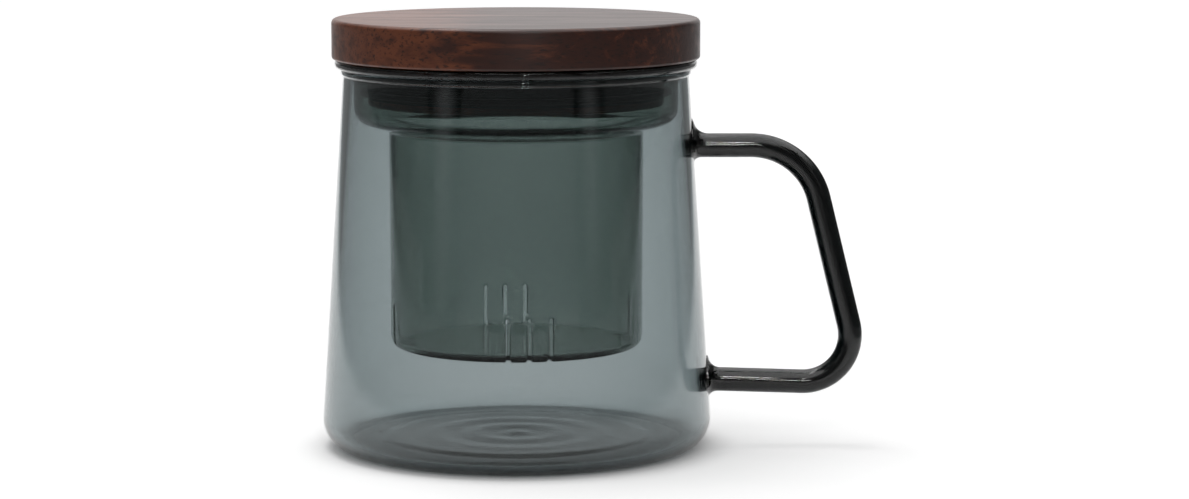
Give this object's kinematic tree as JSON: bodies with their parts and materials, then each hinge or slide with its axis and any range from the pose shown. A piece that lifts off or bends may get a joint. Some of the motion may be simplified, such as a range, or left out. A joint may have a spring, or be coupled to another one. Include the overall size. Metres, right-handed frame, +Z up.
{
  "type": "lidded tea mug with infuser",
  "caption": "Tapered glass tea mug with a rod handle, a slitted glass infuser hanging in its mouth and a turned wooden lid with a silicone seal.",
  "frame": {"origin": "middle of the mug's flat underside, on the mug's axis", "axes": "+Z up along the mug's axis, +X from the axis through the handle, -Y towards the viewer of the picture"},
  "size_m": [0.1322, 0.095, 0.105],
  "materials": {
    "smoked_glass": "blown borosilicate glass, smoke grey, fire-polished",
    "walnut": "turned walnut, satin oil",
    "black_silicone": "moulded silicone, matte"
  },
  "bodies": {
    "mug": {"mug_body": "smoked_glass", "handle": "smoked_glass"},
    "infuser": {"infuser": "smoked_glass"},
    "lid": {"lid": "walnut", "lid_seal": "black_silicone"}
  },
  "joints": [
    {"name": "infuser_lift", "type": "slide", "parent": "mug", "child": "infuser", "axis": [0, 0, 1], "range_m": [0, 0.09]},
    {"name": "lid_lift", "type": "slide", "parent": "infuser", "child": "lid", "axis": [0, 0, 1], "range_m": [0, 0.04]}
  ]
}
